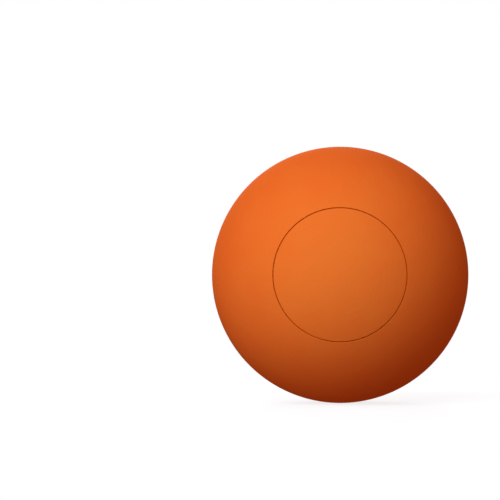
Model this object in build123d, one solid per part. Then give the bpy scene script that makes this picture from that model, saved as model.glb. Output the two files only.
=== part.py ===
"""Lacrosse ball: a solid rubber ball with a round mark disc, flush with its surface, at each pole.

The ball is modelled in millimetres with its centre at the origin and +Z up. Its pole axis is Y: the
large mark disc faces -Y and the small one faces +Y. The body is one mass of rubber, press-cured in a
mould that parts in the XZ plane, where grinding off the flash leaves a narrow flat band round it. Each
disc is bonded into a flat-bottomed recess of the body. A fine ring line on the ball's surface shows
where the two meet.

In an outline, X is the distance from the pole axis and Y is the place along that axis.
"""

import os
from dataclasses import dataclass
from math import acos, asin, cos, sin

from build123d import *

# Driving dimensions, in millimetres
BALL_DIAMETER = 63.5
FRONT_DISC_DIAMETER = 32.0
REAR_DISC_DIAMETER = 22.0
DISC_SIDE_HEIGHT = 2.5
RING_LINE_WIDTH = 0.3
RING_LINE_DEPTH = 0.3
PARTING_BAND_WIDTH = 3.0

BALL_RADIUS = BALL_DIAMETER / 2


@dataclass
class Pole:
    """One end of the pole axis. Its disc and its side of the body take their outlines from it.

    The ring line is a V-shaped groove, square to the ball's surface. Below the groove's bottom the
    disc's side is straight, parallel to the pole axis, down to a flat seat. The direction is 1 for the
    pole on +Y and -1 for the one on -Y, and an angle is measured in radians from the pole.
    """

    direction: int
    disc_diameter: float

    def __post_init__(self):
        ring_angle = asin(self.disc_diameter / BALL_DIAMETER)
        half_line_angle = RING_LINE_WIDTH / 2 / BALL_RADIUS
        self.disc_edge = self.surface_point(ring_angle - half_line_angle)
        self.body_edge_angle = ring_angle + half_line_angle
        self.line_bottom = self.surface_point(ring_angle) * (1 - RING_LINE_DEPTH / BALL_RADIUS)
        self.rim = self.line_bottom - Vector(0, self.direction * DISC_SIDE_HEIGHT)
        self.seat_middle = Vector(0, self.rim.Y)
        self.band_edge_angle = acos(PARTING_BAND_WIDTH / BALL_DIAMETER)
        self.band_edge = self.surface_point(self.band_edge_angle)

    def surface_point(self, angle):
        """Outline point on the ball's surface."""
        return Vector(sin(angle), self.direction * cos(angle)) * BALL_RADIUS

    def surface_arc(self, start_angle, end_angle):
        """Stretch of the ball's surface between two angles."""
        angles = (start_angle, (start_angle + end_angle) / 2, end_angle)
        return ThreePointArc(*[self.surface_point(angle) for angle in angles])

    def body_side(self):
        """Outline of the body from the middle of the disc's seat to the edge of the parting band."""
        body_edge = self.surface_point(self.body_edge_angle)
        recess = Polyline(self.seat_middle, self.rim, self.line_bottom, body_edge)
        return [recess, self.surface_arc(self.body_edge_angle, self.band_edge_angle)]


def turned(outline):
    """Solid turned from a closed outline about the pole axis."""
    return revolve(make_face(outline), axis=Axis.Y)


def ball_body(front, rear):
    """Body with a recess at each pole, and the parting band between its two sides."""
    parting_band = Line(front.band_edge, rear.band_edge)
    pole_axis = Line(front.seat_middle, rear.seat_middle)
    return turned([*front.body_side(), *rear.body_side(), parting_band, pole_axis])


def mark_disc(pole):
    """Disc that fills its recess, with its share of the ring line, domed to be flush with the ball.

    The disc is a plug that stands clear of the ball, cut off by the ball's surface. The ball here has
    its own poles on Z, so that none of them lies in the dome.
    """
    plug_edge = pole.disc_edge * 2 - pole.line_bottom
    plug_end = pole.direction * BALL_DIAMETER
    plug = turned(
        Polyline(
            pole.seat_middle,
            pole.rim,
            pole.line_bottom,
            plug_edge,
            (plug_edge.X, plug_end),
            (0, plug_end),
            close=True,
        )
    )
    return plug & Sphere(BALL_RADIUS)


def ball_pieces():
    """Every solid of the ball by name, in place."""
    front = Pole(-1, FRONT_DISC_DIAMETER)
    rear = Pole(1, REAR_DISC_DIAMETER)
    return {
        "ball_body": ball_body(front, rear),
        "front_mark_disc": mark_disc(front),
        "rear_mark_disc": mark_disc(rear),
    }


os.makedirs("parts", exist_ok=True)
for name, piece in ball_pieces().items():
    piece.label = name
    export_step(piece, f"parts/{name}.step")
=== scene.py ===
"""Dresses the lacrosse ball: its rubber pieces, their moulded finishes, a plain studio and the camera.

Lengths are in metres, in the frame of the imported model: the ball's centre is the origin, its pole axis
is Y with the large mark disc on -Y, and +Z is up. Every piece of the ball is turned about the pole axis
from an outline. In an outline, X is the distance from the pole axis and Y is the place along it.
"""

import logging
import math
from abc import ABC, abstractmethod
from dataclasses import dataclass, field
from enum import Enum
from itertools import accumulate, pairwise
from typing import ClassVar

import bpy
from mathutils import Euler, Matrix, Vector

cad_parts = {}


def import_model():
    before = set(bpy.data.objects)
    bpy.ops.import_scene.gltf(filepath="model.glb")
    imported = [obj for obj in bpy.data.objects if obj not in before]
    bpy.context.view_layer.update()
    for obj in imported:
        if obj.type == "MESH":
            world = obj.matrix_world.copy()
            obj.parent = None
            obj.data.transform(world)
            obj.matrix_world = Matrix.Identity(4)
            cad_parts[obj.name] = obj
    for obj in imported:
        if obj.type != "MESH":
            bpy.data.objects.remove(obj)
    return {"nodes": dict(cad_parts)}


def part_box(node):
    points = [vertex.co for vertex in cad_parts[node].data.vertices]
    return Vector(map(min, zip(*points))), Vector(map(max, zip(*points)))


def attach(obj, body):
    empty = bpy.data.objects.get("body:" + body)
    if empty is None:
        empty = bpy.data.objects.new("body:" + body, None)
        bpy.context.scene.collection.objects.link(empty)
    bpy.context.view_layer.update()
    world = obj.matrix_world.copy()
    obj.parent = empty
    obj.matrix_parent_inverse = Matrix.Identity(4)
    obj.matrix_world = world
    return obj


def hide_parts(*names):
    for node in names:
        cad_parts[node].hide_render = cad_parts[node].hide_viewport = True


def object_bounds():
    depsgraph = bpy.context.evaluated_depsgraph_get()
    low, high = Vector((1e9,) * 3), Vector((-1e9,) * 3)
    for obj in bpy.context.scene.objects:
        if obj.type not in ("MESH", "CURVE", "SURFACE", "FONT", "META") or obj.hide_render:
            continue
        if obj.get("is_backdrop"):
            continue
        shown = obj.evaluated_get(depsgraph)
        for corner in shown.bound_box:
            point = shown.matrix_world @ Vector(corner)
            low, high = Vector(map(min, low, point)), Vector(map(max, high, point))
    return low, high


LOG = logging.getLogger("lacrosse_ball")

Point = tuple[float, float]
Outline = list[Point]
Colour = tuple[float, float, float, float]

MM = 0.001
BODY_NODE = "ball_body"
RIGID_BODY = "root"
WHITE = "FFFFFF"


def linear(hex_colour: str) -> Colour:
    """Turns an sRGB colour to the linear one that Blender's sockets take.

    Args:
        hex_colour: Six hex digits, red first.

    Returns:
        Red, green, blue and an alpha of 1.
    """
    levels = [int(hex_colour[i : i + 2], 16) / 255 for i in (0, 2, 4)]
    red, green, blue = (v / 12.92 if v <= 0.04045 else ((v + 0.055) / 1.055) ** 2.4 for v in levels)
    return (red, green, blue, 1.0)


def add_node(
    tree: bpy.types.NodeTree,
    kind: str,
    inputs: dict[str | int, object] | None = None,
    **settings: object,
) -> bpy.types.Node:
    """Adds a node to a tree with its settings, and fills or links its inputs.

    Args:
        tree: Tree that gets the node.
        kind: Blender's name for the type of node.
        inputs: What each input gets, by its name or number: a value, a socket to link, or a node whose
            first output is linked.
        settings: Attributes of the node itself.

    Returns:
        The new node.
    """
    node = tree.nodes.new(kind)
    for name, value in settings.items():
        setattr(node, name, value)
    for key, value in (inputs or {}).items():
        if isinstance(value, bpy.types.Node):
            value = next(socket for socket in value.outputs if socket.enabled)
        if isinstance(value, bpy.types.NodeSocket):
            tree.links.new(value, node.inputs[key])
        else:
            node.inputs[key].default_value = value
    return node


def graded(start: float, end: float, finest: float, coarsest: float, growth: float = 1.8) -> list[float]:
    """Places from start to end, close together at the start and growing to an even spacing.

    Args:
        start: First place.
        end: Last place.
        finest: Spacing at the start.
        coarsest: Spacing that the rest grows to.
        growth: How much wider each spacing is than the last.

    Returns:
        The places in order, with both ends.
    """
    places = [start]
    spacing = finest
    # The last spacing takes what is left, which is at most half as much again.
    while abs(end - places[-1]) > 1.5 * spacing:
        places.append(places[-1] + math.copysign(spacing, end - start))
        spacing = min(spacing * growth, coarsest)
    return [*places, end]


class PoleEnd(Enum):
    """The two ends of the pole axis, with the direction of each along Y."""

    FRONT = -1
    REAR = 1

    @property
    def disc_node(self) -> str:
        """Name of the CAD node of the mark disc at this end."""
        return f"{self.name.lower()}_mark_disc"


class LineSide(Enum):
    """The two sides of a ring line, with the sign that each has in the angle from the pole."""

    DISC = -1
    BODY = 1


@dataclass(frozen=True)
class BallSizes:
    """Sizes of the whole ball.

    Attributes:
        radius: Radius of the ball.
        band_radius: Radius of the flat band that grinding leaves round the equator.
        GRINDING_STRAY: How far past the band's nominal edge the grinding may stray.
    """

    radius: float
    band_radius: float

    GRINDING_STRAY: ClassVar[float] = 0.7 * MM

    @classmethod
    def from_frame(cls, body: bpy.types.Object) -> "BallSizes":
        """Reads the sizes from the CAD body.

        Args:
            body: The CAD node of the ball's body.

        Returns:
            The sizes.
        """
        _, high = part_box(BODY_NODE)
        return cls(radius=max(vertex.co.length for vertex in body.data.vertices), band_radius=high.x)

    @property
    def band_half_width(self) -> float:
        """Half the width of the flat band."""
        return math.sqrt(self.radius**2 - self.band_radius**2)

    @property
    def grinding_reach(self) -> float:
        """Distance from the equator that grinding may reach."""
        return self.band_half_width + self.GRINDING_STRAY


@dataclass(frozen=True)
class MouldedLine:
    """Fine line in the rubber: a groove with soft lips and a soft bottom.

    Attributes:
        width: Width between its edges, along the surface.
        lip: How far each soft lip goes past its edge.
        depth: Depth at the middle.
        steps: Faces across each wall.
    """

    width: float
    lip: float
    depth: float
    steps: int

    @property
    def reach(self) -> float:
        """Distance from the middle to where a lip ends."""
        return self.width / 2 + self.lip

    def depth_at(self, offset: float) -> float:
        """Depth at a distance from the middle, which is 0 beyond the lip."""
        return self.depth * (1 + math.cos(math.pi * min(offset, self.reach) / self.reach)) / 2

    def offsets(self) -> list[float]:
        """Distances across one wall, from the middle out to the end of the lip."""
        return [self.reach * step / self.steps for step in range(self.steps + 1)]


RING_LINE = MouldedLine(width=0.3 * MM, lip=0.03 * MM, depth=0.3 * MM, steps=10)
PARTING_SEAM = MouldedLine(width=0.2 * MM, lip=0.02 * MM, depth=0.11 * MM, steps=6)


@dataclass(frozen=True)
class Pole:
    """One pole of the ball, drawn as if it lay on +Y: the surface, the ring line and the disc's seat.

    Attributes:
        end: Which end of the pole axis it is.
        ball: Sizes of the ball.
        ring_angle: Angle from the pole to the middle of the ring line.
        seat_height: Place of the disc's flat seat along the pole axis.
        LIP_ROW: Length of the first face beyond a lip of the ring line.
        SURFACE_ROW: Length of the faces on the open surface.
    """

    end: PoleEnd
    ball: BallSizes
    ring_angle: float
    seat_height: float

    LIP_ROW: ClassVar[float] = 0.03 * MM
    SURFACE_ROW: ClassVar[float] = 0.55 * MM

    @classmethod
    def from_frame(cls, end: PoleEnd, ball: BallSizes) -> "Pole":
        """Reads a pole's sizes from the CAD disc there.

        Args:
            end: Which end of the pole axis it is.
            ball: Sizes of the ball.

        Returns:
            The pole.
        """
        low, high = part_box(end.disc_node)
        disc_edge_angle = math.asin((high.x - low.x) / 2 / ball.radius)
        return cls(
            end=end,
            ball=ball,
            ring_angle=disc_edge_angle + RING_LINE.width / 2 / ball.radius,
            seat_height=min(abs(low.y), abs(high.y)),
        )

    def point(self, angle: float, depth: float = 0.0) -> Point:
        """Outline point at an angle from the pole and a depth below the ball's surface."""
        radius = self.ball.radius - depth
        return (radius * math.sin(angle), radius * math.cos(angle))

    def seat(self) -> Outline:
        """Flat seat from its middle to its rim, which lies under the bottom of the ring line."""
        rim_radius, _ = self.point(self.ring_angle, RING_LINE.depth)
        return [(0.0, self.seat_height), (rim_radius, self.seat_height)]

    def angle_beside_line(self, side: LineSide, offset: float) -> float:
        """Angle from the pole at a distance to one side of the ring line's middle."""
        return self.ring_angle + side.value * offset / self.ball.radius

    def line_wall(self, side: LineSide) -> Outline:
        """One wall of the ring line, from its bottom out to its lip.

        Args:
            side: Which wall it is.

        Returns:
            Outline of the wall.
        """
        return [
            self.point(self.angle_beside_line(side, offset), RING_LINE.depth_at(offset))
            for offset in RING_LINE.offsets()
        ]

    def surface_from_lip(self, side: LineSide, end_angle: float) -> Outline:
        """The ball's surface from beyond a lip of the ring line to another angle.

        Args:
            side: Which lip it is.
            end_angle: Angle from the pole where the stretch ends.

        Returns:
            Outline of the surface, without the lip itself.
        """
        lip_angle = self.angle_beside_line(side, RING_LINE.reach)
        rows = (self.LIP_ROW / self.ball.radius, self.SURFACE_ROW / self.ball.radius)
        return [self.point(angle) for angle in graded(lip_angle, end_angle, *rows)[1:]]

    def in_place(self, outline: Outline) -> Outline:
        """Puts an outline that was drawn for +Y on the pole's own side.

        Args:
            outline: Outline drawn as if the pole lay on +Y.

        Returns:
            The outline in place, run so that turning it gives faces that point out of the rubber.
        """
        if self.end is PoleEnd.REAR:
            return outline
        return [(radius, -height) for radius, height in reversed(outline)]


@dataclass
class Lathe:
    """Turns outlines to closed meshes about the pole axis, with Geometry Nodes.

    Whatever of a turned piece stands out past the ground radius is ground off by hand, so the ground
    radius wavers a little round the ball, and with it the edges of the flat band.

    Each piece gets a UV map that goes round the axis across and along the outline up, so that lines and
    bands round the ball lie level in a baked picture.

    Attributes:
        ground_radius: Distance from the pole axis that grinding leaves.
        segments: Faces round the axis.
        waver: How far the ground radius wavers.
        waver_length: Length of a waver round the ball.
        weld: Distance within which the seam and the poles are closed.
        crease: Angle above which an edge is shaded sharp.
        tree: The node tree, built once.
        sockets: Identifiers of the tree's inputs by their names.
        UV_MAP: Name of the UV map.
        UV_MARGIN: Height that is left free at the bottom and the top of the map.
    """

    ground_radius: float
    segments: int = 360
    waver: float = 0.04 * MM
    waver_length: float = 9.0 * MM
    weld: float = 0.0001 * MM
    crease: float = math.radians(50)
    tree: bpy.types.NodeTree = field(init=False)
    sockets: dict[str, str] = field(init=False, default_factory=dict)

    UV_MAP: ClassVar[str] = "OFBake"
    UV_MARGIN: ClassVar[float] = 0.005

    def __post_init__(self) -> None:
        """Builds the node tree."""
        self.tree = bpy.data.node_groups.new("turn_outline", "GeometryNodeTree")
        for name, kind in (
            ("Outline", "NodeSocketGeometry"),
            ("Segments", "NodeSocketInt"),
            ("Ground radius", "NodeSocketFloat"),
            ("Waver", "NodeSocketFloat"),
            ("Waver length", "NodeSocketFloat"),
            ("Weld distance", "NodeSocketFloat"),
            ("Crease angle", "NodeSocketFloat"),
            ("Finish", "NodeSocketMaterial"),
        ):
            socket = self.tree.interface.new_socket(name, in_out="INPUT", socket_type=kind)
            self.sockets[name] = socket.identifier
        self.tree.interface.new_socket("Turned piece", in_out="OUTPUT", socket_type="NodeSocketGeometry")
        given = add_node(self.tree, "NodeGroupInput").outputs
        finished = self._shaded(self._turned(given), given)
        add_node(self.tree, "NodeGroupOutput", {0: finished})

    def _turned(self, given: bpy.types.NodeOutputs) -> bpy.types.Node:
        """Wraps a grid with a row for each outline point round the axis, and closes it.

        Args:
            given: The tree's inputs.

        Returns:
            Node with the closed surface.
        """
        tree = self.tree
        rows = add_node(tree, "GeometryNodeAttributeDomainSize", {"Geometry": given["Outline"]})
        columns = add_node(tree, "FunctionNodeIntegerMath", {0: given["Segments"], 1: 1}, operation="ADD")
        grid = add_node(tree, "GeometryNodeMeshGrid", {"Vertices X": columns, "Vertices Y": rows})
        index = add_node(tree, "GeometryNodeInputIndex")
        row = add_node(tree, "FunctionNodeIntegerMath", {0: index, 1: rows}, operation="MODULO")
        column = add_node(tree, "FunctionNodeIntegerMath", {0: index, 1: rows}, operation="DIVIDE_FLOOR")
        outline_place = add_node(
            tree,
            "GeometryNodeSampleIndex",
            {
                "Geometry": given["Outline"],
                "Value": add_node(tree, "GeometryNodeInputPosition"),
                "Index": row,
            },
            data_type="FLOAT_VECTOR",
            domain="POINT",
        )
        place = add_node(tree, "ShaderNodeSeparateXYZ", {0: outline_place}).outputs
        turn = add_node(tree, "ShaderNodeMath", {0: column, 1: given["Segments"]}, operation="DIVIDE")
        # Turned this way round, the faces point out of the rubber.
        angle = add_node(tree, "ShaderNodeMath", {0: turn, 1: -math.tau}, operation="MULTIPLY")
        cosine = add_node(tree, "ShaderNodeMath", {0: angle}, operation="COSINE")
        sine = add_node(tree, "ShaderNodeMath", {0: angle}, operation="SINE")
        direction = add_node(tree, "ShaderNodeCombineXYZ", {"X": cosine, "Z": sine})
        ground = self._ground(given, direction)
        radius = add_node(tree, "ShaderNodeMath", {0: place["X"], 1: ground}, operation="MINIMUM")
        across = add_node(
            tree, "ShaderNodeVectorMath", {0: direction, "Scale": radius}, operation="SCALE"
        )
        along = add_node(tree, "ShaderNodeCombineXYZ", {"Y": place["Y"]})
        position = add_node(tree, "ShaderNodeVectorMath", {0: across, 1: along}, operation="ADD")
        wrapped = add_node(tree, "GeometryNodeSetPosition", {"Geometry": grid, "Position": position})
        mapped = self._mapped(wrapped, turn, place["Z"])
        return add_node(
            tree, "GeometryNodeMergeByDistance", {"Geometry": mapped, "Distance": given["Weld distance"]}
        )

    def _mapped(
        self, wrapped: bpy.types.Node, turn: bpy.types.Node, map_height: bpy.types.NodeSocket
    ) -> bpy.types.Node:
        """Gives a wrapped grid its UV map.

        Args:
            wrapped: Node with the wrapped grid, before it is closed.
            turn: Node with each point's turn round the axis, from 0 to 1.
            map_height: Socket with each point's height in the map.

        Returns:
            Node with the mapped grid.
        """
        tree = self.tree
        map_place = add_node(tree, "ShaderNodeCombineXYZ", {"X": turn, "Y": map_height})
        point_place = add_node(
            tree, "GeometryNodeFieldOnDomain", {0: map_place}, data_type="FLOAT_VECTOR", domain="POINT"
        )
        # Kept by face corner, the map stays open where the surface is closed.
        return add_node(
            tree,
            "GeometryNodeStoreNamedAttribute",
            {"Geometry": wrapped, "Name": self.UV_MAP, "Value": point_place},
            data_type="FLOAT2",
            domain="CORNER",
        )

    def _ground(self, given: bpy.types.NodeOutputs, direction: bpy.types.Node) -> bpy.types.Node:
        """Finds the radius that grinding leaves in each direction.

        Args:
            given: The tree's inputs.
            direction: Node with the direction out from the axis.

        Returns:
            Node with the ground radius.
        """
        tree = self.tree
        turns = add_node(
            tree,
            "ShaderNodeMath",
            {0: given["Ground radius"], 1: given["Waver length"]},
            operation="DIVIDE",
        )
        noise = add_node(
            tree, "ShaderNodeTexNoise", {"Vector": direction, "Scale": turns, "Detail": 1.0}
        )
        centred = add_node(tree, "ShaderNodeMath", {0: noise, 1: 0.5}, operation="SUBTRACT")
        return add_node(
            tree,
            "ShaderNodeMath",
            {0: centred, 1: given["Waver"], 2: given["Ground radius"]},
            operation="MULTIPLY_ADD",
        )

    def _shaded(self, surface: bpy.types.Node, given: bpy.types.NodeOutputs) -> bpy.types.Node:
        """Shades a surface smooth but for its creases, and gives it its finish.

        Args:
            surface: Node with the closed surface.
            given: The tree's inputs.

        Returns:
            Node with the finished piece.
        """
        tree = self.tree
        smooth = add_node(
            tree, "GeometryNodeSetShadeSmooth", {"Geometry": surface, "Shade Smooth": True}, domain="FACE"
        )
        edge_angle = add_node(tree, "GeometryNodeInputMeshEdgeAngle")
        is_crease = add_node(
            tree,
            "FunctionNodeCompare",
            {"A": edge_angle, "B": given["Crease angle"]},
            operation="GREATER_THAN",
        )
        creased = add_node(
            tree,
            "GeometryNodeSetShadeSmooth",
            {"Geometry": smooth, "Selection": is_crease, "Shade Smooth": False},
            domain="EDGE",
        )
        realized = add_node(tree, "GeometryNodeRealizeInstances", {"Geometry": creased})
        return add_node(
            tree, "GeometryNodeSetMaterial", {"Geometry": realized, "Material": given["Finish"]}
        )

    def _map_heights(self, outline: Outline) -> list[float]:
        """Heights of an outline's points in the UV map.

        They go with the length along the outline. They keep off the ends of the map, where a picture that
        repeats would mix the two poles of the piece.

        Args:
            outline: Outline of the piece.

        Returns:
            The heights, from 0 to 1 but for the margins.
        """
        steps = (math.dist(*ends) for ends in pairwise(outline))
        lengths = list(accumulate(steps, initial=0.0))
        scale = (1 - 2 * self.UV_MARGIN) / lengths[-1]
        return [self.UV_MARGIN + scale * length for length in lengths]

    def turn(self, name: str, outline: Outline, finish: bpy.types.Material) -> bpy.types.Object:
        """Turns an outline to a piece.

        Args:
            name: Name of the piece.
            outline: Outline from -Y to +Y, with the rubber on its inner side.
            finish: Material of the piece.

        Returns:
            The piece, as a plain mesh.
        """
        mesh = bpy.data.meshes.new(f"{name}_outline")
        # The third number of a point is its height in the UV map.
        points = [(*point, height) for point, height in zip(outline, self._map_heights(outline))]
        mesh.from_pydata(points, [], [])
        piece = bpy.data.objects.new(name, mesh)
        bpy.context.scene.collection.objects.link(piece)
        modifier = piece.modifiers.new("turn", "NODES")
        modifier.node_group = self.tree
        for socket, value in (
            ("Segments", self.segments),
            ("Ground radius", self.ground_radius),
            ("Waver", self.waver),
            ("Waver length", self.waver_length),
            ("Weld distance", self.weld),
            ("Crease angle", self.crease),
            ("Finish", finish),
        ):
            modifier[self.sockets[socket]] = value
        graph = bpy.context.evaluated_depsgraph_get()
        turned = bpy.data.meshes.new_from_object(piece.evaluated_get(graph), depsgraph=graph)
        turned.name = name
        piece.modifiers.clear()
        piece.data = turned
        bpy.data.meshes.remove(mesh)
        return piece


@dataclass(frozen=True)
class Surface:
    """Tree of a material on the ball, with the measures that its patterns follow.

    Attributes:
        tree: The material's tree.
        ball: Sizes of the ball.
        place: Place on the piece.
        from_band: Distance along the pole axis from the middle of the parting band.
        from_axis: Distance from the pole axis.
        depth: Depth below the round of the ball, in millimetres.
    """

    tree: bpy.types.NodeTree
    ball: BallSizes
    place: bpy.types.NodeSocket
    from_band: bpy.types.Node
    from_axis: bpy.types.Node
    depth: bpy.types.Node

    @classmethod
    def begin(cls, tree: bpy.types.NodeTree, ball: BallSizes) -> "Surface":
        """Adds the nodes that measure a place on the ball.

        Args:
            tree: An empty tree of a material.
            ball: Sizes of the ball.

        Returns:
            The surface.
        """
        place = add_node(tree, "ShaderNodeTexCoord").outputs["Object"]
        along_axis = add_node(tree, "ShaderNodeSeparateXYZ", {0: place}).outputs["Y"]
        off_axis = add_node(tree, "ShaderNodeVectorMath", {0: place, 1: (1, 0, 1)}, operation="MULTIPLY")
        from_centre = add_node(tree, "ShaderNodeVectorMath", {0: place}, operation="LENGTH")
        below = add_node(tree, "ShaderNodeMath", {0: ball.radius, 1: from_centre}, operation="SUBTRACT")
        return cls(
            tree=tree,
            ball=ball,
            place=place,
            from_band=add_node(tree, "ShaderNodeMath", {0: along_axis}, operation="ABSOLUTE"),
            from_axis=add_node(tree, "ShaderNodeVectorMath", {0: off_axis}, operation="LENGTH"),
            depth=add_node(tree, "ShaderNodeMath", {0: below, 1: MM}, operation="DIVIDE"),
        )


@dataclass(frozen=True)
class PressCuredRubber(ABC):
    """Pigmented solid rubber, cured under pressure against a blasted steel mould.

    It is matte: no clear highlight, a fine even grain from the mould, slow waves where it shrank, and
    pigment that drifts a little. It is yellowest at the poles, and painted shade makes it redder and a
    little darker towards the parting band, which is the ball's edge when it is seen along the pole axis.
    The lines in it are a deep burnt orange, partly from dirt of handling and partly from painted shade.

    Attributes:
        name: Name of the material.
        pole_colour: Colour at the poles.
        band_shade_colour: Colour at the parting band: painted shade, redder and a little darker than at
            the poles.
        line_dirt_and_shade_colour: Colour at the bottom of a line, partly dirt and partly painted shade.
        line_depths: Depths in millimetres between which the dirt and painted shade set in.
        roughness: Least and greatest roughness.
        specular: Specular level. It is low, because bloom on the rubber dulls it.
        grain: Size of the grain in millimetres. The real grain is about 0.15, too fine to show, so it is
            drawn coarser.
        grain_height: Height of the grain in millimetres.
        wave: Length of the slow waves in millimetres.
        wave_height: Height of the slow waves in millimetres.
        drift: Size of the pigment's drifts in millimetres.
        drift_share: How far a drift goes between the two colours.
        polar_falloff: Power by which the poles' colour fades into the painted shade towards the band.
        IOR: Index of refraction of rubber.
    """

    name: str
    pole_colour: str = "E97E32"
    band_shade_colour: str = "E9702A"
    line_dirt_and_shade_colour: str = "BC5200"
    line_depths: tuple[float, float] = (0.006, 0.07)
    roughness: tuple[float, float] = (0.84, 0.96)
    specular: float = 0.004
    grain: float = 0.8
    grain_height: float = 0.045
    wave: float = 6.0
    wave_height: float = 0.06
    drift: float = 9.0
    drift_share: float = 0.35
    polar_falloff: float = 3.0

    IOR: ClassVar[float] = 1.52

    def material(self, ball: BallSizes) -> bpy.types.Material:
        """Makes the material.

        Args:
            ball: Sizes of the ball.

        Returns:
            The material.
        """
        material = bpy.data.materials.new(self.name)
        material.use_nodes = True
        tree = material.node_tree
        tree.nodes.clear()
        surface = Surface.begin(tree, ball)
        grain = add_node(
            tree,
            "ShaderNodeTexNoise",
            {"Vector": surface.place, "Scale": 1 / (self.grain * MM), "Detail": 2.0},
        )
        roughness = add_node(
            tree,
            "ShaderNodeMapRange",
            {"Value": grain, "To Min": self.roughness[0], "To Max": self.roughness[1]},
        )
        height = add_node(
            tree,
            "ShaderNodeMath",
            {0: self._moulded_height(surface, grain), 1: self._tool_marks(surface)},
            operation="ADD",
        )
        shader = add_node(
            tree,
            "ShaderNodeBsdfPrincipled",
            {
                "Base Color": self._dirtied_and_shaded(surface, self._worked(surface, self._pigment_and_limb_shade(surface))),
                "Roughness": roughness,
                "IOR": self.IOR,
                "Specular IOR Level": self.specular,
                "Normal": add_node(tree, "ShaderNodeBump", {"Height": height, "Distance": MM}),
            },
        )
        add_node(tree, "ShaderNodeOutputMaterial", {"Surface": shader})
        return material

    def _pigment_and_limb_shade(self, surface: Surface) -> bpy.types.Node:
        """Colours the rubber with painted shade, redder and darker from pole to band, and with its drifts
        of pigment.

        Args:
            surface: Surface that it colours.

        Returns:
            Node with the colour.
        """
        tree = surface.tree
        # Painted shade: from the poles the colour turns redder and darker towards the band, the ball's
        # edge seen along the pole axis.
        polar = add_node(
            tree, "ShaderNodeMath", {0: surface.from_band, 1: surface.ball.radius}, operation="DIVIDE"
        )
        polar = add_node(tree, "ShaderNodeMath", {0: polar, 1: self.polar_falloff}, operation="POWER")
        noise = add_node(
            tree,
            "ShaderNodeTexNoise",
            {"Vector": surface.place, "Scale": 1 / (self.drift * MM), "Detail": 3.0},
        )
        drift = add_node(
            tree,
            "ShaderNodeMapRange",
            {"Value": noise, "To Min": -self.drift_share, "To Max": self.drift_share},
        )
        share = add_node(tree, "ShaderNodeMath", {0: polar, 1: drift}, operation="ADD", use_clamp=True)
        return add_node(
            tree,
            "ShaderNodeMix",
            {"Factor": share, "A": linear(self.band_shade_colour), "B": linear(self.pole_colour)},
            data_type="RGBA",
        )

    def _worked(self, surface: Surface, rubber: bpy.types.Node) -> bpy.types.Node:
        """Changes the colour where a tool worked the cured rubber, for finishes that have such a place.

        Args:
            surface: Surface that it colours.
            rubber: Node with the colour of the rubber as cured.

        Returns:
            Node with the colour.
        """
        return rubber

    def _line_depth(self, surface: Surface) -> bpy.types.Node:
        """Finds the depth in a line, in millimetres below the surface beside it.

        Args:
            surface: Surface that has the line.

        Returns:
            Node with the depth.
        """
        return surface.depth

    def _dirtied_and_shaded(self, surface: Surface, rubber: bpy.types.Node) -> bpy.types.Node:
        """Darkens the lines from a little below the lip down, partly as dirt and partly as painted shade.

        Args:
            surface: Surface that it colours.
            rubber: Node with the colour of the clean rubber.

        Returns:
            Node with the colour.
        """
        lip, bottom = self.line_depths
        # Dirt and painted shade in the lines, growing with depth.
        dirt_and_shade = add_node(
            surface.tree,
            "ShaderNodeMapRange",
            {"Value": self._line_depth(surface), "From Min": lip, "From Max": bottom},
            interpolation_type="SMOOTHSTEP",
        )
        return add_node(
            surface.tree,
            "ShaderNodeMix",
            {"Factor": dirt_and_shade, "A": rubber, "B": linear(self.line_dirt_and_shade_colour)},
            data_type="RGBA",
        )

    def _moulded_height(self, surface: Surface, grain: bpy.types.Node) -> bpy.types.Node:
        """Finds the height of the moulded surface in millimetres, from the grain and the slow waves.

        Args:
            surface: Surface that it shapes.
            grain: Node with the grain.

        Returns:
            Node with the height.
        """
        tree = surface.tree
        waves = add_node(
            tree,
            "ShaderNodeTexNoise",
            {"Vector": surface.place, "Scale": 1 / (self.wave * MM), "Detail": 1.0},
        )
        slow = add_node(tree, "ShaderNodeMath", {0: waves, 1: self.wave_height}, operation="MULTIPLY")
        return add_node(
            tree, "ShaderNodeMath", {0: grain, 1: self.grain_height, 2: slow}, operation="MULTIPLY_ADD"
        )

    @abstractmethod
    def _tool_marks(self, surface: Surface) -> bpy.types.Node:
        """Finds the height in millimetres of the marks that a tool left.

        Args:
            surface: Surface that it shapes.

        Returns:
            Node with the height.
        """


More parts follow.
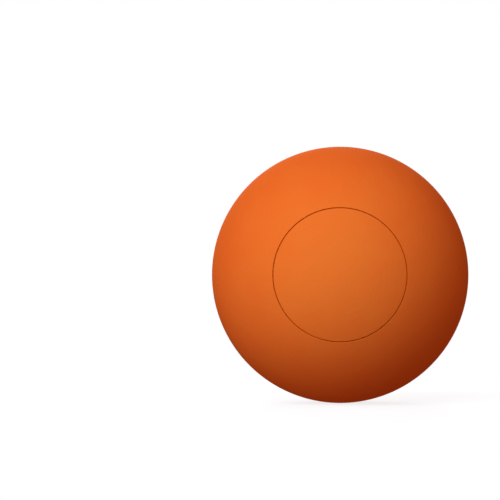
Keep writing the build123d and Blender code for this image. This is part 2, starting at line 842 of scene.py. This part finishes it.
@dataclass(frozen=True)
class GroundBandRubber(PressCuredRubber):
    """Press-cured rubber whose flash was ground off round the equator.

    Grinding opens the cured skin, so the band is a little paler, with fine scratches that run round the
    ball.

    Attributes:
        ground_colour: Colour of freshly ground rubber.
        ground_share: How much of that colour shows through the dirt of handling.
        ground_depths: Depths of cut in millimetres between which the skin goes.
        deepest_cut: Depth of the deepest cut in millimetres.
        scratch: Width of a scratch in millimetres. A real one is about 0.1, too fine to show, so it is
            drawn coarser.
        scratch_length: Length of a scratch in millimetres.
        scratch_height: Height of the scratches in millimetres.
    """

    ground_colour: str = "EF9152"
    ground_share: float = 0.28
    ground_depths: tuple[float, float] = (0.003, 0.012)
    deepest_cut: float = 0.05
    scratch: float = 0.5
    scratch_length: float = 7.0
    scratch_height: float = 0.12

    def _near_band(self, surface: Surface) -> bpy.types.Node:
        """Marks the part of the ball that the grinding wheel reaches.

        Args:
            surface: Surface that was ground.

        Returns:
            Node that gives 1 there, and otherwise 0.
        """
        reach = surface.ball.grinding_reach
        return add_node(
            surface.tree, "ShaderNodeMath", {0: surface.from_band, 1: reach}, operation="LESS_THAN"
        )

    def _ground(self, surface: Surface) -> bpy.types.Node:
        """Finds how far the skin has gone, from the depth of the cut near the band.

        Args:
            surface: Surface that was ground.

        Returns:
            Node with the share of the skin that has gone.
        """
        tree = surface.tree
        start, end = self.ground_depths
        cut = add_node(
            tree,
            "ShaderNodeMapRange",
            {"Value": surface.depth, "From Min": start, "From Max": end},
            interpolation_type="SMOOTHSTEP",
        )
        return add_node(
            tree, "ShaderNodeMath", {0: cut, 1: self._near_band(surface)}, operation="MULTIPLY"
        )

    def _line_depth(self, surface: Surface) -> bpy.types.Node:
        """Finds the depth in a line, which near the band counts from the deepest cut.

        Args:
            surface: Surface that has the line.

        Returns:
            Node with the depth in millimetres.
        """
        return add_node(
            surface.tree,
            "ShaderNodeMath",
            {0: self._near_band(surface), 1: -self.deepest_cut, 2: surface.depth},
            operation="MULTIPLY_ADD",
        )

    def _scratches(self, surface: Surface) -> bpy.types.Node:
        """Draws the scratches, long round the ball and narrow across the band.

        Args:
            surface: Surface that was ground.

        Returns:
            Node with the scratches, from 0 to 1.
        """
        around, across = 1 / (self.scratch_length * MM), 1 / (self.scratch * MM)
        stretched = add_node(
            surface.tree, "ShaderNodeMapping", {"Vector": surface.place, "Scale": (around, across, around)}
        )
        return add_node(
            surface.tree, "ShaderNodeTexNoise", {"Vector": stretched, "Scale": 1.0, "Detail": 2.0}
        )

    def _worked(self, surface: Surface, rubber: bpy.types.Node) -> bpy.types.Node:
        """Pales the rubber where it was ground, most between the scratches.

        Args:
            surface: Surface that it colours.
            rubber: Node with the colour of the rubber as cured.

        Returns:
            Node with the colour.
        """
        tree = surface.tree
        # The scratches lie about a mean of a half.
        opened = add_node(
            tree,
            "ShaderNodeMath",
            {0: self._scratches(surface), 1: 2 * self.ground_share},
            operation="MULTIPLY",
        )
        ground = self._ground(surface)
        share = add_node(tree, "ShaderNodeMath", {0: ground, 1: opened}, operation="MULTIPLY")
        return add_node(
            tree,
            "ShaderNodeMix",
            {"Factor": share, "A": rubber, "B": linear(self.ground_colour)},
            data_type="RGBA",
        )

    def _tool_marks(self, surface: Surface) -> bpy.types.Node:
        """Finds the height of the grinding scratches in millimetres.

        Args:
            surface: Surface that it shapes.

        Returns:
            Node with the height.
        """
        tree = surface.tree
        height = add_node(
            tree,
            "ShaderNodeMath",
            {0: self._ground(surface), 1: self.scratch_height},
            operation="MULTIPLY",
        )
        scratches = self._scratches(surface)
        return add_node(tree, "ShaderNodeMath", {0: scratches, 1: height}, operation="MULTIPLY")


@dataclass(frozen=True)
class TurnedInsertRubber(PressCuredRubber):
    """Press-cured rubber against a mould insert that was turned on a lathe, so faint rings show in it.

    Attributes:
        feed: Distance from one ring to the next in millimetres. The real feed is about 0.1, too fine to
            show, so it is drawn coarser.
        feed_height: Height of the rings in millimetres.
    """

    feed: float = 0.7
    feed_height: float = 0.016

    def _tool_marks(self, surface: Surface) -> bpy.types.Node:
        """Finds the height of the rings that the insert left, in millimetres.

        Args:
            surface: Surface that it shapes.

        Returns:
            Node with the height.
        """
        noise = add_node(
            surface.tree,
            "ShaderNodeTexNoise",
            {"W": surface.from_axis, "Scale": 1 / (self.feed * MM), "Detail": 1.0},
            noise_dimensions="1D",
        )
        return add_node(
            surface.tree, "ShaderNodeMath", {0: noise, 1: self.feed_height}, operation="MULTIPLY"
        )


# Matte orange with a fine grain, and a paler buffed strip round the middle.
BODY_RUBBER = GroundBandRubber("press_cured_ground_rubber")
# The same orange and grain, with faint rings about the pole.
DISC_RUBBER = TurnedInsertRubber("insert_pressed_rubber")


@dataclass
class RubberBody:
    """The ball's body: its surface between the ring lines, a disc seat at each pole and the parting band.

    Attributes:
        front: Pole on -Y.
        rear: Pole on +Y.
        band_row: Height of the rows of faces where grinding may reach.
    """

    front: Pole
    rear: Pole
    band_row: float = 0.15 * MM

    def equator(self, ball: BallSizes) -> Outline:
        """Outline from the middle of the parting seam to just past the band, before it is ground.

        Args:
            ball: Sizes of the ball.

        Returns:
            The outline, as if the pole lay on +Y.
        """
        lip = PARTING_SEAM.reach
        end = ball.grinding_reach
        rows = math.ceil((end - lip) / self.band_row)
        heights = PARTING_SEAM.offsets() + [lip + (end - lip) * row / rows for row in range(1, rows + 1)]
        return [(math.sqrt(ball.radius**2 - y**2) - PARTING_SEAM.depth_at(y), y) for y in heights]

    def half_outline(self, pole: Pole) -> Outline:
        """Outline from the middle of the parting seam to the middle of a disc's seat.

        Args:
            pole: Pole on that side.

        Returns:
            The outline, in place.
        """
        equator = self.equator(pole.ball)
        _, edge_height = equator[-1]
        from_lip = pole.surface_from_lip(LineSide.BODY, math.acos(edge_height / pole.ball.radius))
        recess = [*pole.seat(), *pole.line_wall(LineSide.BODY)]
        return pole.in_place([*equator[:-1], *reversed(from_lip), *reversed(recess)])

    def build(self, lathe: Lathe, finish: bpy.types.Material) -> bpy.types.Object:
        """Turns the body, puts it on its rigid body and lets it stand for the CAD node.

        Args:
            lathe: Lathe that turns it.
            finish: Its material.

        Returns:
            The piece.
        """
        outline = [*self.half_outline(self.front), *self.half_outline(self.rear)[1:]]
        piece = lathe.turn("body_rubber", outline, finish)
        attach(piece, RIGID_BODY)
        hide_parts(BODY_NODE)
        return piece


@dataclass
class MarkDisc:
    """Round mark disc: a domed surface flush with the ball, its wall of the ring line and its flat seat.

    Attributes:
        pole: Pole that it lies at.
    """

    pole: Pole

    def outline(self) -> Outline:
        """Outline of the disc, in place."""
        dome = self.pole.surface_from_lip(LineSide.DISC, 0.0)
        return self.pole.in_place([*self.pole.seat(), *self.pole.line_wall(LineSide.DISC), *dome])

    def build(self, lathe: Lathe, finish: bpy.types.Material) -> bpy.types.Object:
        """Turns the disc, puts it on its rigid body and lets it stand for the CAD node.

        Args:
            lathe: Lathe that turns it.
            finish: Its material.

        Returns:
            The piece.
        """
        end = self.pole.end
        piece = lathe.turn(f"{end.name.lower()}_disc_rubber", self.outline(), finish)
        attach(piece, RIGID_BODY)
        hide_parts(end.disc_node)
        return piece


@dataclass(frozen=True)
class Softbox:
    """Square lamp that faces the ball's centre.

    Attributes:
        name: Name of the lamp.
        azimuth: Direction round the ball in degrees, 0 on the camera's side and growing to the right.
        elevation: Height above the horizon in degrees.
        side: Length of its side.
        radiance: Light that it gives off, on the scale where a white background gives 1.
        distance: Distance from the ball's centre.
    """

    name: str
    azimuth: float
    elevation: float
    side: float
    radiance: float
    distance: float = 1.2

    def hang(self) -> bpy.types.Object:
        """Makes the lamp and adds it to the scene.

        Returns:
            The lamp.
        """
        light = bpy.data.lights.new(self.name, "AREA")
        light.shape = "SQUARE"
        light.size = self.side
        light.energy = math.pi * self.side**2 * self.radiance
        azimuth, elevation = math.radians(self.azimuth), math.radians(self.elevation)
        level = math.cos(elevation)
        towards = Vector((math.sin(azimuth) * level, -math.cos(azimuth) * level, math.sin(elevation)))
        lamp = bpy.data.objects.new(self.name, light)
        lamp.location = towards * self.distance
        lamp.rotation_euler = towards.to_track_quat("Z", "Y").to_euler()
        bpy.context.scene.collection.objects.link(lamp)
        return lamp


KEY_SOFTBOX = Softbox("key_softbox", azimuth=-26, elevation=27, side=1.15, radiance=3.2)
REAR_SOFTBOX = Softbox("rear_softbox", azimuth=186, elevation=21, side=0.7, radiance=6.9)


def seen_directly(tree: bpy.types.NodeTree) -> bpy.types.Node:
    """Tells the rays that show the background from those that carry its light.

    Args:
        tree: Tree of a stage material or of the world.

    Returns:
        Node that gives 1 on camera, glossy and transmission rays, and otherwise 0.
    """
    path = add_node(tree, "ShaderNodeLightPath").outputs
    seen = add_node(
        tree, "ShaderNodeMath", {0: path["Is Camera Ray"], 1: path["Is Glossy Ray"]}, operation="MAXIMUM"
    )
    return add_node(tree, "ShaderNodeMath", {0: seen, 1: path["Is Transmission Ray"]}, operation="MAXIMUM")


@dataclass(frozen=True)
class RoomLight:
    """Even light from the room, with a white background where it is seen.

    Attributes:
        colour: Colour of the room's light.
        strength: Level of the room's light.
    """

    colour: str = "FFC5B3"
    strength: float = 0.36

    def fill(self) -> None:
        """Sets up the world."""
        world = bpy.data.worlds.new("room")
        world.use_nodes = True
        tree = world.node_tree
        tree.nodes.clear()
        room = add_node(
            tree, "ShaderNodeBackground", {"Color": linear(self.colour), "Strength": self.strength}
        )
        backdrop = add_node(tree, "ShaderNodeBackground", {"Color": linear(WHITE), "Strength": 1.0})
        shown = add_node(tree, "ShaderNodeMixShader", {0: seen_directly(tree), 1: room, 2: backdrop})
        add_node(tree, "ShaderNodeOutputWorld", {"Surface": shown})
        bpy.context.scene.world = world


@dataclass(frozen=True)
class PaperFloor:
    """White seamless paper that the ball stands on.

    Where it is seen it is white, with the ball's soft shadow on the part nearby. It glows from within, so
    that the light it throws at the ball's underside is even. That light is dim, and warm from the ball's
    own orange.

    Attributes:
        side: Length of the paper's side.
        bounce_colour: Colour of the light that it throws at the ball.
        bounce: Level of that light.
        glow: Share of its white that no shadow takes away.
        shadow_colour: Colour of the share that the shadow falls on.
        shadow_reach: Distances from the ball between which the shadow fades out.
    """

    side: float = 4.0
    bounce_colour: str = "FFAE98"
    bounce: float = 0.24
    glow: float = 0.8
    shadow_colour: str = "8E9DA7"
    shadow_reach: tuple[float, float] = (0.10, 0.22)

    def material(self) -> bpy.types.Material:
        """Makes the paper's material.

        Returns:
            The material.
        """
        material = bpy.data.materials.new("seamless_paper")
        material.use_nodes = True
        tree = material.node_tree
        tree.nodes.clear()
        bounce = add_node(
            tree, "ShaderNodeEmission", {"Color": linear(self.bounce_colour), "Strength": self.bounce}
        )
        glow = add_node(tree, "ShaderNodeEmission", {"Color": linear(WHITE), "Strength": self.glow})
        catcher = add_node(tree, "ShaderNodeBsdfDiffuse", {"Color": linear(self.shadow_colour)})
        near = add_node(tree, "ShaderNodeAddShader", {0: glow, 1: catcher})
        far = add_node(tree, "ShaderNodeEmission", {"Color": linear(WHITE), "Strength": 1.0})
        place = add_node(tree, "ShaderNodeTexCoord").outputs["Object"]
        distance = add_node(tree, "ShaderNodeVectorMath", {0: place}, operation="LENGTH")
        start, end = self.shadow_reach
        fade = add_node(
            tree,
            "ShaderNodeMapRange",
            {"Value": distance, "From Min": start, "From Max": end},
            interpolation_type="SMOOTHSTEP",
        )
        paper = add_node(tree, "ShaderNodeMixShader", {0: fade, 1: near, 2: far})
        shown = add_node(tree, "ShaderNodeMixShader", {0: seen_directly(tree), 1: bounce, 2: paper})
        add_node(tree, "ShaderNodeOutputMaterial", {"Surface": shown})
        return material

    def lay(self, height: float) -> bpy.types.Object:
        """Lays the paper under the ball.

        Args:
            height: Height of the ball's lowest point.

        Returns:
            The floor.
        """
        half = self.side / 2
        corners = [(-half, -half), (half, -half), (half, half), (-half, half)]
        mesh = bpy.data.meshes.new("paper_floor")
        mesh.from_pydata([(x, y, height) for x, y in corners], [], [(0, 1, 2, 3)])
        mesh.materials.append(self.material())
        floor = bpy.data.objects.new("paper_floor", mesh)
        bpy.context.scene.collection.objects.link(floor)
        floor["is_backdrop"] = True
        return floor


@dataclass(frozen=True)
class PhotoCamera:
    """Camera that sees the ball as the photograph does, along the pole axis and level with its centre.

    Attributes:
        lens: Focal length in millimetres.
        sensor: Width of the sensor in millimetres.
        frame_px: Side of the square picture in pixels.
        ball_centre_px: Place of the ball's centre in the picture, from its top left corner.
        ball_radius_px: Radius of the ball's outline in the picture.
    """

    lens: float = 200.0
    sensor: float = 36.0
    frame_px: float = 500.0
    ball_centre_px: Point = (340.0, 274.8)
    ball_radius_px: float = 128.1

    def place(self, ball: BallSizes) -> bpy.types.Object:
        """Makes the camera and gives it to the scene.

        Args:
            ball: Sizes of the ball.

        Returns:
            The camera.
        """
        focal_px = self.frame_px * self.lens / self.sensor
        right_px, down_px = (place - self.frame_px / 2 for place in self.ball_centre_px)
        tilt = math.atan(down_px / focal_px)
        turn = math.atan(right_px * math.cos(tilt) / focal_px)
        distance = ball.radius / math.sin(math.atan(self.ball_radius_px / focal_px))
        data = bpy.data.cameras.new("photo_camera")
        data.lens = self.lens
        data.sensor_width = self.sensor
        camera = bpy.data.objects.new("photo_camera", data)
        camera.location = (0.0, -distance, 0.0)
        camera.rotation_euler = Euler((math.pi / 2 + tilt, 0.0, turn))
        bpy.context.scene.collection.objects.link(camera)
        bpy.context.scene.camera = camera
        return camera


def main() -> None:
    """Builds the ball, the studio and the camera in order."""
    logging.basicConfig(level=logging.INFO, format="%(name)s: %(message)s")
    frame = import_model()
    cad_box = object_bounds()
    ball = BallSizes.from_frame(frame["nodes"][BODY_NODE])
    front, rear = (Pole.from_frame(end, ball) for end in PoleEnd)

    lathe = Lathe(ground_radius=ball.band_radius)
    body_rubber, disc_rubber = (finish.material(ball) for finish in (BODY_RUBBER, DISC_RUBBER))
    pieces = [RubberBody(front, rear).build(lathe, body_rubber)]
    pieces += [MarkDisc(pole).build(lathe, disc_rubber) for pole in (front, rear)]
    for piece in pieces:
        LOG.info("%s: %d faces", piece.name, len(piece.data.polygons))

    PaperFloor().lay(cad_box[0].z)
    RoomLight().fill()
    for softbox in (KEY_SOFTBOX, REAR_SOFTBOX):
        lamp = softbox.hang()
        LOG.info("%s: %.1f W", lamp.name, lamp.data.energy)
    PhotoCamera().place(ball)
    bpy.context.scene.view_settings.view_transform = "Standard"


if __name__ == "__main__":
    main()
